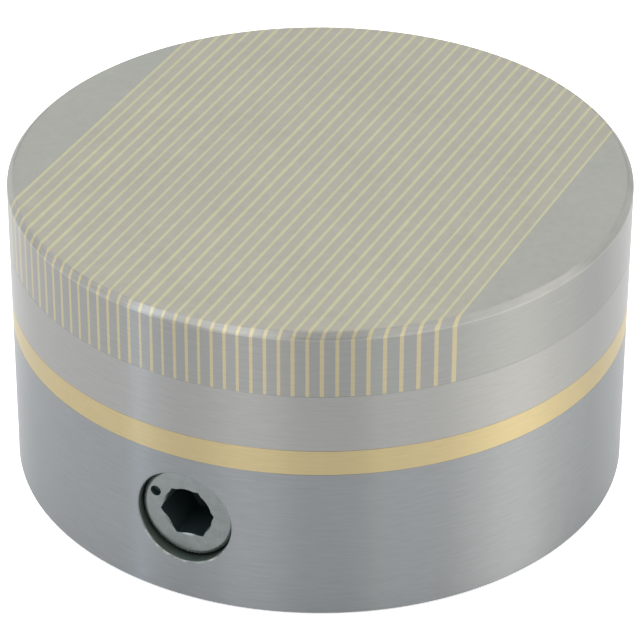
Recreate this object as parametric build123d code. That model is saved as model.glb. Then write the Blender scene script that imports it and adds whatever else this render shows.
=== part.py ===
from build123d import *

import math
import os

# Round permanent magnetic chuck, switched by turning a hexagon key through half a turn.
# A laminated pole plate of steel bars and brass strips closes a round steel case. Two layers of magnets
# and pole bars lie under it. The upper layer is fixed in the case. The lower one slides sideways by one
# pole on a carrier, so that its poles meet like or unlike poles above it: the plate holds work or lets go.
# Millimetres and degrees. +Z is up through the work face, and the origin is the centre of the underside.
# The key socket faces -Y, and the strips run along Y. At rest the chuck is switched off.

# Overall form
chuck_diameter = 100.0
pole_plate_thickness = 11.0
upper_ring_height = 9.8
brass_ring_height = 4.3
top_edge_chamfer = 0.9
bottom_edge_chamfer = 0.5

# Laminated pole plate: brass strips between steel bars, and a solid segment at each side
strip_pitch = 2.0
brass_strip_thickness = 0.5
left_segment_width = 10.65
right_segment_width = 12.15

# Case screws, from the underside into the pole plate
case_screw_count = 6
case_screw_diameter = 4.0
case_screw_side_distance = 6.0
case_screw_clearance = 0.25
case_screw_head_diameter = 7.0
case_screw_head_height = 4.0
case_screw_head_inset = 0.6
case_screw_hex = 3.0
case_screw_hex_depth = 2.0
counterbore_clearance = 0.5
metal_above_screws = 3.0
tapping_run_out = 0.5

# Dowels that line up the base, the rings and the pole plate, each turned on from a case screw
dowel_diameter = 4.0
dowel_turn = 15.0
dowel_depth_in_base = 8.0
dowel_depth_in_plate = 6.0
dowel_end_gap = 0.5

# Pocket in the base, and the rings over it
pocket_floor = 8.0
pocket_corner_radius = 4.0
metal_inside_screws = 1.75
front_land = 19.0
upper_ring_lip = 1.5
slip_sheet_thickness = 0.5
slip_sheet_lip = 1.0

# The two magnet layers
magnet_thickness = 3.0
pole_bar_thickness = 3.0
shortest_bar = 10.0
bar_gap = 0.1

# Magnet carrier, and the keys that it slides on
carrier_side_gap = 0.8
carrier_end_gap = 0.5
carrier_floor_gap = 1.0
carrier_roof = 2.5
tray_end_wall = 1.4
tray_side_wall = 2.0
tray_rim_drop = 0.5
key_length = 56.0
key_width = 8.0
key_height = 3.5
key_groove_depth = 1.5
key_side_gap = 0.1

# Countersunk screws that hold the keys
key_screw_diameter = 3.0
key_screw_head_diameter = 6.0
key_screw_head_inset = 0.1
key_screw_hex = 2.0
key_screw_hex_depth = 1.0
key_screw_end_distance = 6.0
metal_below_key_screws = 2.0

# Cross bore for the drive shaft
bore_diameter = 16.0
metal_below_bore = 7.0
metal_above_bore = 3.3

# Head of the shaft. Angles are seen from the front, from +X towards +Z
face_recess = 1.7
face_edge_radius = 0.8
head_length = 12.0
hex_across_flats = 8.0
hex_depth = 8.0
hex_turn = 5.4
hex_drill_point = 2.4
dimple_diameter = 1.7
dimple_depth = 1.0
dimple_flat = 2
o_ring_section = 1.6
o_ring_setback = 2.6
o_ring_slack = 0.4
o_ring_squeeze = 0.04

# Bush and eccentric pin
thrust_gap = 0.1
eccentric_pin_diameter = 5.0
running_clearance = 0.05
snug_clearance = 0.02

# Block that carries the pin's swing into the carrier
block_length = 7.8
block_side_wall = 3.5
block_cap_wall = 1.5
block_roof_gap = 0.5
block_floor_gap = 0.6
block_end_gap = 0.2

# Stop screw, whose dog stands in a half-turn slot of the head
stop_screw_diameter = 6.0
stop_screw_inset = 0.6
stop_screw_hex = 3.0
stop_screw_hex_depth = 3.0
stop_dog_diameter = 3.0
stop_slot_depth = 1.5
stop_slot_gap = 0.1
shoulder_by_slot = 1.0
metal_above_stop_screw = 0.5

# Underside, where the chuck is bolted down
mount_hole_count = 4
mount_hole_circle = 66.0
mount_hole_diameter = 5.0
mount_hole_first_angle = 45.0
metal_above_mount_holes = 1.5
recess_diameter = 20.0
recess_depth = 3.0

# How far a cutter runs out past a face, and how far a joined length runs in
run_out = 1.0
run_in = 0.5

# Radii that follow
chuck_radius = chuck_diameter / 2
bolt_radius = chuck_radius - case_screw_side_distance
case_screw_hole_radius = case_screw_diameter / 2 + case_screw_clearance
pocket_radius = bolt_radius - case_screw_hole_radius - metal_inside_screws
magnet_bore_radius = pocket_radius - upper_ring_lip
slip_sheet_seat_radius = pocket_radius + slip_sheet_lip
bore_radius = bore_diameter / 2
head_radius = bore_radius - running_clearance
pin_radius = eccentric_pin_diameter / 2
hex_corner_radius = hex_across_flats / math.sqrt(3)

# Heights that follow
shaft_height = metal_below_bore + bore_radius
base_top = shaft_height + bore_radius + metal_above_bore
brass_ring_top = base_top + brass_ring_height
plate_bottom = brass_ring_top + upper_ring_height
plate_top = plate_bottom + pole_plate_thickness
slip_sheet_bottom = brass_ring_top - slip_sheet_thickness
screw_seat = case_screw_head_inset + case_screw_head_height
screw_top = plate_top - metal_above_screws

# The carrier travels by one pole, so the pin stands half of that off the shaft's axis
pole_pitch = magnet_thickness + pole_bar_thickness
eccentricity = pole_pitch / 2
journal_radius = eccentricity + pin_radius

# The pin swings sideways faster and slower than a steady slide. The notch leaves room for the most
# that the two come apart, which is where the sine of the swing is 2 / pi
widest_swing = math.asin(2 / math.pi)
swing_lead = eccentricity * (2 * widest_swing / math.pi - 1 + math.cos(widest_swing))
notch_slack = swing_lead + running_clearance + snug_clearance

# Drive block and carrier
block_width = eccentric_pin_diameter + 2 * block_side_wall
block_height = eccentric_pin_diameter + 2 * block_cap_wall
lowest_block = shaft_height - eccentricity - block_height / 2
pocket_half_width = chuck_radius - front_land
carrier_half_width = pocket_half_width - carrier_side_gap
carrier_radius = pocket_radius - eccentricity - carrier_end_gap
carrier_bottom = pocket_floor + carrier_floor_gap
notch_roof = shaft_height + block_height / 2 + block_roof_gap
magnet_seat = notch_roof + carrier_roof
moving_layer_top = slip_sheet_bottom - bar_gap
tray_top = moving_layer_top - tray_rim_drop
notch_end = carrier_half_width - block_length - 2 * block_end_gap
block_near = notch_end + block_end_gap
block_far = block_near + block_length
relief_end = notch_end - block_floor_gap
key_bottom = pocket_floor - key_groove_depth
key_top = key_bottom + key_height
key_offset = relief_end / 2

# Stations along the shaft, measured from the chuck's axis towards -Y
face_station = chuck_radius - face_recess
shoulder_station = face_station - head_length
bush_front = shoulder_station - thrust_gap
bush_back = pocket_half_width + thrust_gap
journal_end = pocket_half_width - thrust_gap
pin_end = notch_end + block_end_gap / 2
o_ring_front = face_station - o_ring_setback
o_ring_back = o_ring_front - o_ring_section - o_ring_slack
stop_slot_half = stop_dog_diameter / 2 + stop_slot_gap
stop_slot_floor = head_radius - stop_slot_depth
stop_station = shoulder_station + shoulder_by_slot + stop_slot_half


def upright(radius, bottom, top, x=0.0, y=0.0):
    """A cylinder along Z between two heights."""
    return Pos(x, y, (bottom + top) / 2) * Cylinder(radius, top - bottom)


def lying(radius, near, far, x=0.0, z=shaft_height):
    """A cylinder along Y between two stations of the shaft."""
    return Pos(x, -(near + far) / 2, z) * Rot(90, 0, 0) * Cylinder(radius, far - near)


def block_between(width, depth, bottom, top, x=0.0, y=0.0):
    """A box between two heights, centred on x and y."""
    return Pos(x, y, (bottom + top) / 2) * Box(width, depth, top - bottom)


def hexagon_prism(across_flats, bottom, top, x=0.0, y=0.0):
    """A hexagonal prism along Z."""
    outline = Pos(x, y, bottom) * RegularPolygon(across_flats / math.sqrt(3), 6)
    return extrude(outline, top - bottom)


def disc_with_flats(radius, half_width, bottom, top, x=0.0):
    """A disc cut off flat at the front and at the back."""
    return upright(radius, bottom, top, x) & block_between(2 * radius, 2 * half_width, bottom, top, x)


def points_round(radius, count, first_angle):
    """Evenly spaced points on a circle about the chuck's axis."""
    angles = [math.radians(first_angle + k * 360 / count) for k in range(count)]
    return [(radius * math.cos(a), radius * math.sin(a)) for a in angles]


def rim(shape, height):
    """The outermost round edges of a shape at one height."""
    rings = shape.edges().filter_by(GeomType.CIRCLE)
    return [e for e in rings if math.isclose(e.center().Z, height, abs_tol=0.01) and e.radius > bolt_radius]


# The case screws stand clear of the shaft, on both sides of it
screw_step = 360 / case_screw_count
screw_points = points_round(bolt_radius, case_screw_count, screw_step / 2 - 90)
dowel_points = points_round(bolt_radius, 2, 3 * screw_step / 2 - 90 + dowel_turn)
mount_points = points_round(mount_hole_circle / 2, mount_hole_count, mount_hole_first_angle)
key_screw_reach = key_length / 2 - key_screw_end_distance
key_screw_x = (-key_screw_reach, key_screw_reach)
key_y = (-key_offset, key_offset)


def case_holes(bottom, top):
    """Cutters for the case screws and the dowels through one layer of the case."""
    screws = [upright(case_screw_hole_radius, bottom - run_out, top + run_out, x, y) for x, y in screw_points]
    dowel_hole_radius = dowel_diameter / 2 + snug_clearance
    lowest = max(bottom - run_out, base_top - dowel_depth_in_base - dowel_end_gap)
    dowels = [upright(dowel_hole_radius, lowest, top + run_out, x, y) for x, y in dowel_points]
    return screws + dowels


# Case

def pocket():
    """The room for the magnet carrier, open at the top."""
    room = disc_with_flats(pocket_radius, pocket_half_width, pocket_floor, base_top + run_out)
    upright_edges = room.edges().filter_by(Axis.Z)
    corners = [e for e in upright_edges if math.isclose(abs(e.center().Y), pocket_half_width, abs_tol=0.01)]
    return fillet(corners, pocket_corner_radius)


def drive_relief():
    """A shallow place in the pocket floor, where the drive block swings lowest."""
    width = block_width + 2 * eccentricity + 2 * block_floor_gap
    depth = pocket_half_width - relief_end
    y = -(pocket_half_width + relief_end) / 2
    return block_between(width, depth, lowest_block - block_floor_gap, shaft_height, y=y)


def key_groove(y):
    """The groove in the pocket floor that a guide key is laid in."""
    length = key_length + 2 * key_side_gap
    return block_between(length, key_width + 2 * key_side_gap, key_bottom, shaft_height, y=y)


def base_body():
    """Turned steel base, with the pocket, the cross bore for the shaft, and the holes from below."""
    body = upright(chuck_radius, 0, base_top)
    body = chamfer(rim(body, 0), bottom_edge_chamfer)
    body -= pocket()
    body -= drive_relief()
    for y in key_y:
        body -= key_groove(y)
        for x in key_screw_x:
            tapping = key_screw_diameter / 2 + snug_clearance
            body -= upright(tapping, metal_below_key_screws, shaft_height, x, y)
    body -= lying(bore_radius, pocket_half_width - run_out, chuck_radius + run_out)
    body -= upright(stop_screw_diameter / 2 + snug_clearance, -run_out, shaft_height, y=-stop_station)
    body -= case_holes(0, base_top)
    for x, y in screw_points:
        counterbore_radius = case_screw_head_diameter / 2 + counterbore_clearance
        body -= upright(counterbore_radius, -run_out, screw_seat, x, y)
    for x, y in mount_points:
        body -= upright(mount_hole_diameter / 2, -run_out, pocket_floor - metal_above_mount_holes, x, y)
    return body - upright(recess_diameter / 2, -run_out, recess_depth)


def brass_ring():
    """Band that doesn't carry the field, with a seat for the slip sheet in its top."""
    ring = upright(chuck_radius, base_top, brass_ring_top)
    ring -= upright(pocket_radius, base_top - run_out, brass_ring_top + run_out)
    ring -= upright(slip_sheet_seat_radius, slip_sheet_bottom, brass_ring_top + run_out)
    return ring - case_holes(base_top, brass_ring_top)


def upper_ring():
    """Steel ring round the fixed magnet layer."""
    ring = upright(chuck_radius, brass_ring_top, plate_bottom)
    ring -= upright(magnet_bore_radius, brass_ring_top - run_out, plate_bottom + run_out)
    return ring - case_holes(brass_ring_top, plate_bottom)


def slip_sheet():
    """Brass sheet under the fixed layer, for the moving layer to slip past."""
    return upright(slip_sheet_seat_radius - bar_gap, slip_sheet_bottom, brass_ring_top)


# Pole plate

def plate_blank():
    """The pole plate before it is divided, with its blind holes from below."""
    blank = upright(chuck_radius, plate_bottom, plate_top)
    blank = chamfer(rim(blank, plate_top), top_edge_chamfer)
    for x, y in screw_points:
        tapping = case_screw_diameter / 2 + snug_clearance
        blank -= upright(tapping, plate_bottom - run_out, screw_top + tapping_run_out, x, y)
    for x, y in dowel_points:
        reamed = dowel_diameter / 2 + snug_clearance
        top = plate_bottom + dowel_depth_in_plate + dowel_end_gap
        blank -= upright(reamed, plate_bottom - run_out, top, x, y)
    return blank


def strip_centres():
    """Where the brass strips stand: evenly between the segments, as near the stated pitch as that allows."""
    first = left_segment_width + brass_strip_thickness / 2 - chuck_radius
    last = chuck_radius - right_segment_width - brass_strip_thickness / 2
    bars = round((last - first) / strip_pitch)
    return [first + k * (last - first) / bars for k in range(bars + 1)]


def plate_slice(blank, left, right):
    """What the pole plate holds between two planes across X."""
    middle = (left + right) / 2
    return blank & block_between(right - left, chuck_diameter, plate_bottom, plate_top, x=middle)


def pole_plate():
    """The divided plate: left segment, right segment, steel bars and brass strips."""
    blank = plate_blank()
    centres = strip_centres()
    half = brass_strip_thickness / 2
    left = plate_slice(blank, -chuck_radius, centres[0] - half)
    right = plate_slice(blank, centres[-1] + half, chuck_radius)
    bars = [plate_slice(blank, a + half, b - half) for a, b in zip(centres, centres[1:])]
    strips = [plate_slice(blank, x - half, x + half) for x in centres]
    return left, right, bars, strips


# Magnet layers

def magnet_layer(reach, half_width, bottom, top, first_is_pole, x=0.0):
    """Square-ended bars side by side inside a circle, as pole bars and magnets in turn.

    The middle bar is a pole bar or a magnet, as asked, and a pole bar is outermost at each side."""
    poles = []
    magnets = []
    count = math.floor(reach / eccentricity)
    while count > 0:
        outermost_is_pole = (count % 2 == 0) == first_is_pole
        thickness = pole_bar_thickness if outermost_is_pole else magnet_thickness
        outer_side = count * eccentricity + thickness / 2
        chord = 2 * math.sqrt(max(reach**2 - outer_side**2, 0.0))
        if outermost_is_pole and chord >= shortest_bar:
            break
        count -= 1
    for k in range(-count, count + 1):
        is_pole = (k % 2 == 0) == first_is_pole
        thickness = pole_bar_thickness if is_pole else magnet_thickness
        outer_side = abs(k) * eccentricity + thickness / 2
        half_length = min(half_width, math.sqrt(reach**2 - outer_side**2))
        bar = block_between(thickness, 2 * half_length, bottom, top, x=x + k * eccentricity)
        if is_pole:
            poles.append(bar)
        else:
            magnets.append(bar)
    return poles, magnets


def fixed_layer():
    """Magnets and pole bars in the upper ring, between the slip sheet and the pole plate."""
    reach = magnet_bore_radius - bar_gap
    return magnet_layer(reach, reach, brass_ring_top, plate_bottom, first_is_pole=True)


def moving_layer():
    """Magnets and pole bars in the carrier, half a pole off their middle place at rest."""
    reach = carrier_radius - tray_end_wall - bar_gap
    half_width = carrier_half_width - tray_side_wall - bar_gap
    return magnet_layer(reach, half_width, magnet_seat, moving_layer_top, first_is_pole=False, x=eccentricity)


# Carrier and its keys

def magnet_carrier():
    """Tray for the moving layer, with grooves over the keys and a notch for the drive block."""
    x = eccentricity
    carrier = disc_with_flats(carrier_radius, carrier_half_width, carrier_bottom, tray_top, x)
    room_radius = carrier_radius - tray_end_wall
    room_half_width = carrier_half_width - tray_side_wall
    carrier -= disc_with_flats(room_radius, room_half_width, magnet_seat, tray_top + run_out, x)
    for y in key_y:
        carrier -= block_between(chuck_diameter, key_width + 2 * key_side_gap, 0, key_top, y=y)
    notch_y = -(notch_end + chuck_radius) / 2
    notch_width = block_width + 2 * notch_slack
    return carrier - block_between(notch_width, chuck_radius - notch_end, 0, notch_roof, x, notch_y)


def key_screw_head():
    """Height and levels of a countersunk head in a key: (bottom, top)."""
    top = key_top - key_screw_head_inset
    height = (key_screw_head_diameter - key_screw_diameter) / 2
    return top - height, top


def guide_key(y):
    """Brass key that the carrier slides along."""
    key = block_between(key_length, key_width, key_bottom, key_top, y=y)
    head_bottom, head_top = key_screw_head()
    shank_radius = key_screw_diameter / 2 + running_clearance
    sink_radius = key_screw_head_diameter / 2 + running_clearance
    for x in key_screw_x:
        key -= upright(shank_radius, 0, key_top + run_out, x, y)
        key -= upright(sink_radius, head_top, key_top + run_out, x, y)
        sink = Cone(shank_radius, sink_radius, head_top - head_bottom)
        key -= Pos(x, y, (head_bottom + head_top) / 2) * sink
    return key


def key_screw(x, y):
    """Countersunk screw in a key."""
    head_bottom, head_top = key_screw_head()
    shank_radius = key_screw_diameter / 2
    head = Cone(shank_radius, key_screw_head_diameter / 2, head_top - head_bottom)
    screw = Pos(x, y, (head_bottom + head_top) / 2) * head
    screw += upright(shank_radius, metal_below_key_screws + snug_clearance, head_bottom, x, y)
    return screw - hexagon_prism(key_screw_hex, head_top - key_screw_hex_depth, head_top + run_out, x, y)


# Drive

def hexagon_socket():
    """Cutter for the key socket, with the drill's cone at its end."""
    face = Plane(origin=(0, -face_station, shaft_height), x_dir=(1, 0, 0), z_dir=(0, -1, 0))
    outline = face * Rot(0, 0, hex_turn) * RegularPolygon(hex_corner_radius, 6)
    cone_middle = face_station - hex_depth - hex_drill_point / 2
    drill_end = Cone(0, hex_across_flats / 2, hex_drill_point)
    return extrude(outline, -hex_depth) + Pos(0, -cone_middle, shaft_height) * Rot(90, 0, 0) * drill_end


def index_dimple():
    """Cutter for the dimple that shows where the shaft stands, out from the middle of a flat."""
    circle = (hex_across_flats / 2 + head_radius) / 2
    angle = math.radians(hex_turn + (dimple_flat + 0.5) * 60)
    x = circle * math.cos(angle)
    z = shaft_height + circle * math.sin(angle)
    return lying(dimple_diameter / 2, face_station - dimple_depth, face_station + run_out, x, z)


def ring_cutter(floor_radius, near, far):
    """Cutter for a groove round the head."""
    outside = lying(bore_radius + run_out, near, far)
    return outside - lying(floor_radius, near, far)


def stop_slot():
    """Cutter for the half-turn slot that the stop screw's dog stands in, with a round end at each end."""
    near = stop_station - stop_slot_half
    far = stop_station + stop_slot_half
    half_space = Box(2 * bore_diameter, far - near, 2 * bore_diameter)
    slot = ring_cutter(stop_slot_floor, near, far)
    slot &= Pos(bore_diameter, -stop_station, shaft_height) * half_space
    end_height = bore_radius + run_out - stop_slot_floor
    end_middle = (bore_radius + run_out + stop_slot_floor) / 2
    for side in (-1, 1):
        slot += Pos(0, -stop_station, shaft_height + side * end_middle) * Cylinder(stop_slot_half, end_height)
    return slot


def drive_shaft():
    """Head with the key socket, journal in the bush, and eccentric pin at the inner end."""
    head = lying(head_radius, shoulder_station, face_station)
    round_edges = head.edges().filter_by(GeomType.CIRCLE)
    face_edge = [e for e in round_edges if math.isclose(e.center().Y, -face_station, abs_tol=0.01)]
    shaft = fillet(face_edge, face_edge_radius)
    shaft += lying(journal_radius, journal_end, shoulder_station + run_in)
    shaft += lying(pin_radius, pin_end, journal_end + run_in, x=eccentricity)
    shaft -= hexagon_socket()
    shaft -= index_dimple()
    shaft -= ring_cutter(head_radius - o_ring_section, o_ring_back, o_ring_front)
    return shaft - stop_slot()


def shaft_o_ring():
    """Seal in the groove of the head."""
    section_radius = (o_ring_section - o_ring_squeeze) / 2
    middle = -(o_ring_front + o_ring_back) / 2
    return Pos(0, middle, shaft_height) * Rot(90, 0, 0) * Torus(head_radius - section_radius, section_radius)


def shaft_bush():
    """Bronze bush at the inner end of the cross bore."""
    bush = lying(bore_radius - snug_clearance, bush_back, bush_front)
    return bush - lying(journal_radius + running_clearance, bush_back - run_out, bush_front + run_out)


def drive_block():
    """Bronze block on the eccentric pin, in the notch of the carrier."""
    middle = -(block_near + block_far) / 2
    block = Pos(eccentricity, middle, shaft_height) * Box(block_width, block_length, block_height)
    hole_radius = pin_radius + running_clearance
    return block - lying(hole_radius, block_near - run_out, block_far + run_out, x=eccentricity)


def stop_screw():
    """Screw from below with a dog point, which stops the shaft at each end of its half turn."""
    thread_top = metal_below_bore - metal_above_stop_screw
    dog_top = shaft_height - stop_slot_floor - stop_slot_gap
    screw = upright(stop_screw_diameter / 2, stop_screw_inset, thread_top, y=-stop_station)
    screw += upright(stop_dog_diameter / 2, thread_top - run_in, dog_top, y=-stop_station)
    hex_top = stop_screw_inset + stop_screw_hex_depth
    return screw - hexagon_prism(stop_screw_hex, stop_screw_inset - run_out, hex_top, y=-stop_station)


# Fasteners of the case

def case_screw(x, y):
    """Socket head cap screw, its head in the counterbore."""
    screw = upright(case_screw_head_diameter / 2, case_screw_head_inset, screw_seat, x, y)
    screw += upright(case_screw_diameter / 2, screw_seat - run_in, screw_top, x, y)
    hex_top = case_screw_head_inset + case_screw_hex_depth
    return screw - hexagon_prism(case_screw_hex, case_screw_head_inset - run_out, hex_top, x, y)


def locating_dowel(x, y):
    """Hardened pin through both rings."""
    bottom = base_top - dowel_depth_in_base
    return upright(dowel_diameter / 2, bottom, plate_bottom + dowel_depth_in_plate, x, y)


def write(name, *solids):
    """One file for each kind of piece, with its solids kept apart."""
    shape = solids[0] if len(solids) == 1 else Compound(children=list(solids))
    export_step(shape, f"parts/{name}.step")


os.makedirs("parts", exist_ok=True)

left_segment, right_segment, plate_bars, plate_strips = pole_plate()
fixed_poles, fixed_magnets = fixed_layer()
moving_poles, moving_magnets = moving_layer()

write("base_body", base_body())
write("brass_ring", brass_ring())
write("upper_ring", upper_ring())
write("slip_sheet", slip_sheet())
write("pole_plate_left_segment", left_segment)
write("pole_plate_right_segment", right_segment)
write("pole_plate_bars", *plate_bars)
write("brass_strips", *plate_strips)
write("fixed_pole_bars", *fixed_poles)
write("fixed_magnets", *fixed_magnets)
write("moving_pole_bars", *moving_poles)
write("moving_magnets", *moving_magnets)
write("magnet_carrier", magnet_carrier())
write("guide_key_front", guide_key(-key_offset))
write("guide_key_rear", guide_key(key_offset))
write("guide_key_screws", *[key_screw(x, y) for x in key_screw_x for y in key_y])
write("drive_shaft", drive_shaft())
write("shaft_o_ring", shaft_o_ring())
write("shaft_bush", shaft_bush())
write("drive_block", drive_block())
write("stop_screw", stop_screw())
write("case_screws", *[case_screw(x, y) for x, y in screw_points])
write("locating_dowels", *[locating_dowel(x, y) for x, y in dowel_points])

print("height", round(plate_top, 3), "strips", len(plate_strips), "travel", round(2 * eccentricity, 3))
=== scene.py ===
# %% [markdown]
# # Dressing a round permanent magnetic chuck
#
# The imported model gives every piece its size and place. This file gives the pieces that show a finer
# shape, gives every piece its finish, and sets up the studio that the photograph was taken in.
# The chuck stands on its underside: +Z is up, and the key socket looks towards -Y.

import math

import bmesh
import bpy
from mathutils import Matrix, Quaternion, Vector


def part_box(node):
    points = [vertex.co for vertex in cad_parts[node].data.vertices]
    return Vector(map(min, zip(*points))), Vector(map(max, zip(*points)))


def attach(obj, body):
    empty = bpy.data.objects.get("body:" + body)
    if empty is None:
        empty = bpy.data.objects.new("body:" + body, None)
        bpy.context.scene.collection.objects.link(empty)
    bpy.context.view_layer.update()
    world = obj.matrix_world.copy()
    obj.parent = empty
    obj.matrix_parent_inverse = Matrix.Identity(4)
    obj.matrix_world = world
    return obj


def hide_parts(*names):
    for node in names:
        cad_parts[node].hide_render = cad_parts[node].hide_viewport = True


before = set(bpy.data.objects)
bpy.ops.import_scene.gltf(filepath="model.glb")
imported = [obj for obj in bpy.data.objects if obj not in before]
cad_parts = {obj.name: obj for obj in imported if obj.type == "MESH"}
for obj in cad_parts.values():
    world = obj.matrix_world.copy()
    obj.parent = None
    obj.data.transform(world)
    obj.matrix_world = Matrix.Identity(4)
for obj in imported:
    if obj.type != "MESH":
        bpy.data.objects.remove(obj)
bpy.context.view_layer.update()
MM = 0.001

# %% [markdown]
# ## Sizes that the pieces share
#
# Blender works in metres here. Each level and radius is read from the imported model, so the pieces below
# stay where the model is. Only sizes that its boxes can't tell, such as a chamfer, are written down.

# %% Read the levels and radii
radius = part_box("base_body")[1].x
base_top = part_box("base_body")[1].z
brass_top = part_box("brass_ring")[1].z
plate_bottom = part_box("upper_ring")[1].z
plate_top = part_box("brass_strips")[1].z
left_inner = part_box("pole_plate_left_segment")[1].x
right_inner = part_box("pole_plate_right_segment")[0].x
sheet_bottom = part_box("slip_sheet")[0].z
sheet_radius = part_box("slip_sheet")[1].x
shaft_low, shaft_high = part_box("drive_shaft")
shaft_z = (shaft_low.z + shaft_high.z) / 2
head_radius = (shaft_high.z - shaft_low.z) / 2
face_y = shaft_low.y
print("levels in mm", [round(v / MM, 2) for v in (base_top, brass_top, plate_bottom, plate_top)])

# %% [markdown]
# ## The camera
#
# The photograph was taken from far away through a long lens, a little right of the key socket and
# looking down at about 32 degrees. A camera is placed by its angle, its height and its distance from a
# point inside the chuck, because those are the numbers that a photographer would change.

# %% Place the camera
camera_azimuth = math.radians(25.0)
camera_elevation = math.radians(31.69)
camera_distance = 588.85 * MM
camera_roll = math.radians(0.18)
aim = Vector((0, 0, 25.70 * MM))


def direction(azimuth, elevation):
    """The way out from the chuck: an angle round it, from -Y towards +X, and one above the floor."""
    flat = math.cos(elevation)
    return Vector((math.sin(azimuth) * flat, -math.cos(azimuth) * flat, math.sin(elevation)))


towards_camera = direction(camera_azimuth, camera_elevation)
bpy.ops.object.camera_add(location=aim + towards_camera * camera_distance)
camera = bpy.context.object
camera.name = "camera"
camera.rotation_mode = "QUATERNION"
camera.rotation_quaternion = (-towards_camera).to_track_quat("-Z", "Y") @ Quaternion((0, 0, 1), camera_roll)
camera.data.sensor_width = 36
camera.data.lens = 202.72
camera.data.shift_x = 0.0001
camera.data.shift_y = -0.0231
bpy.context.scene.camera = camera
print("camera in mm", [round(v / MM, 1) for v in camera.location])

# %% [markdown]
# ## Writing shader maths as formulas
#
# A finish is a net of nodes. Placing them one by one is hard to read, so one small class wraps a node's
# output: sums and products of such wires add the Math nodes, and `node` adds any other kind.

# %% A wire that adds nodes


class Wire:
    """The output of a node in a material, or the start of an empty material."""

    def __init__(self, tree, socket=None):
        self.tree = tree
        self.socket = socket

    def node(self, kind, settings=None, inputs=None, output=0):
        """Adds a node: its settings first, then the numbers, colours or wires of its sockets."""
        made = self.tree.nodes.new(kind)
        for name, value in (settings or {}).items():
            setattr(made, name, value)
        for name, value in (inputs or {}).items():
            if isinstance(value, Wire):
                self.tree.links.new(value.socket, made.inputs[name])
            else:
                made.inputs[name].default_value = value
        return Wire(self.tree, made.outputs[output] if made.outputs else None)

    def maths(self, operation, first, second=0.0):
        """Adds one Math node for a sum, a difference or a product."""
        return self.node("ShaderNodeMath", {"operation": operation}, {0: first, 1: second})

    def __add__(self, other):
        return self.maths("ADD", self, other)

    __radd__ = __add__

    def __sub__(self, other):
        return self.maths("SUBTRACT", self, other)

    def __rsub__(self, other):
        return self.maths("SUBTRACT", other, self)

    def __mul__(self, other):
        return self.maths("MULTIPLY", self, other)

    __rmul__ = __mul__

    def times_colour(self, colour):
        """A colour, made brighter or darker by this number."""
        return self.node("ShaderNodeVectorMath", {"operation": "SCALE"}, {0: colour, "Scale": self})

    def mix(self, where_low, where_high):
        """One colour where this number is 0, turning into another where it is 1."""
        inputs = {0: self, 6: where_low, 7: where_high}
        return self.node("ShaderNodeMix", {"data_type": "RGBA"}, inputs, output=2)


def new_finish(name):
    """An empty material, and the wire that its nodes start from."""
    material = bpy.data.materials.new(name)
    material.use_nodes = True
    material.node_tree.nodes.clear()
    return material, Wire(material.node_tree)


def noise(start, place, detail=2.0):
    """Cloudy numbers round 0.5, one patch for each unit of the place that is given."""
    inputs = {"Vector": place, "Scale": 1.0, "Detail": detail, "Roughness": 0.6}
    return start.node("ShaderNodeTexNoise", inputs=inputs)


def stretched(start, grain):
    """Object coordinates, counted in grains: how many there are to a metre along x, y and z."""
    place = start.node("ShaderNodeTexCoord", output="Object")
    return start.node("ShaderNodeMapping", inputs={"Vector": place, "Scale": grain})


def close_finish(start, colour, roughness, **rest):
    """Joins the colour and the roughness to a shader, and the shader to the surface."""
    inputs = {"Base Color": colour, "Roughness": roughness, **rest}
    shader = start.node("ShaderNodeBsdfPrincipled", inputs=inputs)
    start.node("ShaderNodeOutputMaterial", inputs={"Surface": shader})


print("shader helpers ready")

# %% [markdown]
# ## Turned metal
#
# The case is turned on a lathe, and the tool leaves lines that run round it. Noise that is stretched
# along the line and fine across it gives such lines in the colour, the gloss and the height at once.
# Real lines spread a reflection across themselves, so the shine is drawn out upwards: that takes the
# shader's Anisotropic value, turned by a quarter. An image of scratches would show seams and repeat.

# %% A maker for cut metal


def even(count):
    """The same grain along x, y and z."""
    return (count, count, count)


cloud_grain = even(90)
grain_in_gloss = 0.12
cloud_in_gloss = 0.06


def cut_metal(name, tint, gloss, grain, depth=0.0, lines=0.1, clouds=0.08, drawn=0.0, turn=0.0):
    """Metal as a tool leaves it: lines of the given grain over wider clouds of tone."""
    material, start = new_finish(name)
    fine = noise(start, stretched(start, grain), detail=3.0)
    cloud = noise(start, stretched(start, cloud_grain))
    tone = 1 + (fine - 0.5) * lines + (cloud - 0.5) * clouds
    shade = tone.times_colour(tint)
    rough = gloss + (fine - 0.5) * grain_in_gloss + (cloud - 0.5) * cloud_in_gloss
    inputs = {"Metallic": 1.0, "Anisotropic": drawn, "Anisotropic Rotation": turn}
    if depth:
        relief = {"Strength": 1.0, "Distance": depth, "Height": fine}
        inputs["Normal"] = start.node("ShaderNodeBump", inputs=relief)
    close_finish(start, shade, rough, **inputs)
    return material


print("cut metal has clouds of", cloud_grain[0], "to the metre")
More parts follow.
